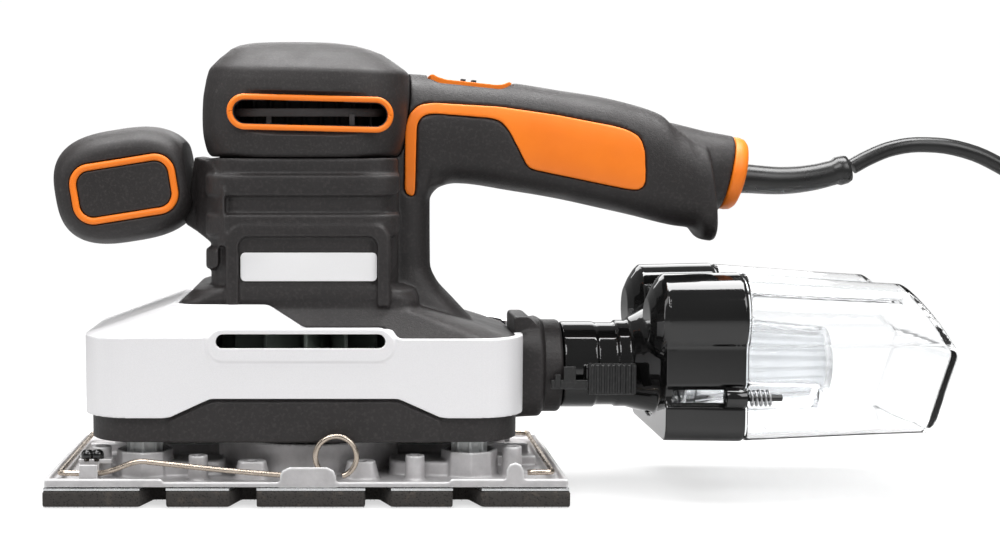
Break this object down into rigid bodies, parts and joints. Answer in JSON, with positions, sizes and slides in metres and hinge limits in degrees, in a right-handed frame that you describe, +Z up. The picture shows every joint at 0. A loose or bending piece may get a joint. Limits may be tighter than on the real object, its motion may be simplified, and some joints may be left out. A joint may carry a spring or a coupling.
{
  "type": "orbital finishing sander",
  "caption": "Corded third-sheet orbital sander with front knob, rear bail handle, sprung wire paper clamps and a push-fit dust canister with a clear bin.",
  "frame": {"origin": "where the motor axis meets the flat sanding face of the pad, which is the surface that the sander stands on", "axes": "+Z up along the motor axis, +X to the rear along the handle and the dust canister, +Y to the operator's right with the knob in front"},
  "size_m": [0.4739, 0.0968, 0.166],
  "materials": {
    "housing_plastic": "fine spark-eroded texture, dark warm grey-black",
    "soft_touch": "smooth matt soft-touch moulding",
    "accent_orange": "satin orange inserts",
    "cover_silver": "satin silver lacquer",
    "gloss_black": "polished black moulding",
    "clear_plastic": "clear moulded plastic",
    "cast_alloy": "sand-textured die casting",
    "bare_steel": "ground and turned steel",
    "nickel_wire": "bright nickel-plated spring wire",
    "copper": "enamelled copper",
    "white_nylon": "slightly translucent nylon",
    "fan_plastic": "pale grey-green moulding",
    "foam": "open black foam with a hook face",
    "carbon": "dark moulded resin and carbon",
    "cord_rubber": "slightly glossy black flex"
  },
  "bodies": {
    "housing": {"housing_left": "housing_plastic", "housing_right": "housing_plastic", "top_cap": "soft_touch", "vent_ring_left": "accent_orange", "vent_ring_right": "accent_orange", "air_grille": "housing_plastic", "grip_inlay_left": "accent_orange", "grip_inlay_right": "accent_orange", "plaque_left": "cover_silver", "plaque_right": "cover_silver", "switch_bezel": "accent_orange", "switch_body": "carbon", "side_cover": "cover_silver", "base_housing": "housing_plastic", "dust_outlet": "housing_plastic", "knob_left": "soft_touch", "knob_right": "soft_touch", "knob_ring_left": "accent_orange", "knob_ring_right": "accent_orange", "housing_screw_1": "bare_steel", "housing_screw_2": "bare_steel", "housing_screw_3": "bare_steel", "stator_core": "bare_steel", "field_coil_left": "copper", "field_coil_right": "copper", "brush_carrier": "carbon", "carbon_brush_left": "carbon", "carbon_brush_right": "carbon", "upper_bearing": "bare_steel", "lower_bearing": "bare_steel", "gland_ring": "accent_orange", "cord_sleeve": "cord_rubber", "mains_lead": "cord_rubber", "cord_coil": "cord_rubber", "mains_plug": "cord_rubber"},
    "rotor": {"motor_shaft": "bare_steel", "armature_core": "bare_steel", "commutator": "copper", "cooling_fan": "fan_plastic", "eccentric_weight": "bare_steel"},
    "platen": {"base_plate": "cast_alloy", "pad_backing": "cast_alloy", "foam_pad": "foam", "platen_bearing": "bare_steel", "clamp_bracket_front": "cast_alloy", "clamp_bracket_rear": "cast_alloy", "support_leg_front_left": "white_nylon", "support_leg_front_right": "white_nylon", "support_leg_rear_left": "white_nylon", "support_leg_rear_right": "white_nylon"},
    "clamp_front": {"clamp_wire_front": "nickel_wire"},
    "clamp_rear": {"clamp_wire_rear": "nickel_wire"},
    "switch_slider": {"switch_slider": "housing_plastic"},
    "canister": {"canister_head": "gloss_black", "filter_cone": "white_nylon"},
    "dust_bin": {"dust_bin": "clear_plastic"},
    "latch_left": {"canister_latch_left": "housing_plastic"},
    "latch_right": {"canister_latch_right": "housing_plastic"},
    "lock_pin": {"lock_pin": "gloss_black", "lock_spring": "bare_steel"}
  },
  "joints": [
    {"name": "rotor_spin", "type": "hinge", "parent": "housing", "child": "rotor", "pos_m": [0, 0, 0.08], "axis": [0, 0, 1], "continuous": true},
    {"name": "platen_orbit", "type": "hinge", "parent": "rotor", "child": "platen", "pos_m": [0.001, 0, 0.016], "axis": [0, 0, 1], "continuous": true},
    {"name": "front_clamp_hinge", "type": "hinge", "parent": "platen", "child": "clamp_front", "pos_m": [-0.087, 0, 0.0116], "axis": [0, -1, 0], "range_deg": [0, 60]},
    {"name": "rear_clamp_hinge", "type": "hinge", "parent": "platen", "child": "clamp_rear", "pos_m": [0.089, 0, 0.0116], "axis": [0, 1, 0], "range_deg": [0, 60]},
    {"name": "switch_slide", "type": "slide", "parent": "housing", "child": "switch_slider", "axis": [0.9945, 0, -0.1048], "range_m": [0, 0.004]},
    {"name": "canister_slide", "type": "slide", "parent": "housing", "child": "canister", "axis": [1, 0, 0], "range_m": [0, 0.02]},
    {"name": "dust_bin_slide", "type": "slide", "parent": "canister", "child": "dust_bin", "axis": [1, 0, 0], "range_m": [0, 0.04]},
    {"name": "left_latch_hinge", "type": "hinge", "parent": "canister", "child": "latch_left", "pos_m": [0.1055, -0.0198, 0.0425], "axis": [0, 0, 1], "range_deg": [0, 6], "stiffness_Nm_per_rad": 0.2},
    {"name": "right_latch_hinge", "type": "hinge", "parent": "canister", "child": "latch_right", "pos_m": [0.1055, 0.0198, 0.0425], "axis": [0, 0, -1], "range_deg": [0, 6], "stiffness_Nm_per_rad": 0.2},
    {"name": "lock_pin_slide", "type": "slide", "parent": "canister", "child": "lock_pin", "axis": [-1, 0, 0], "range_m": [0, 0.004], "stiffness_N_per_m": 100}
  ],
  "couplings": [
    {"joint": "platen_orbit", "follows": "rotor_spin", "ratio": -1}
  ]
}
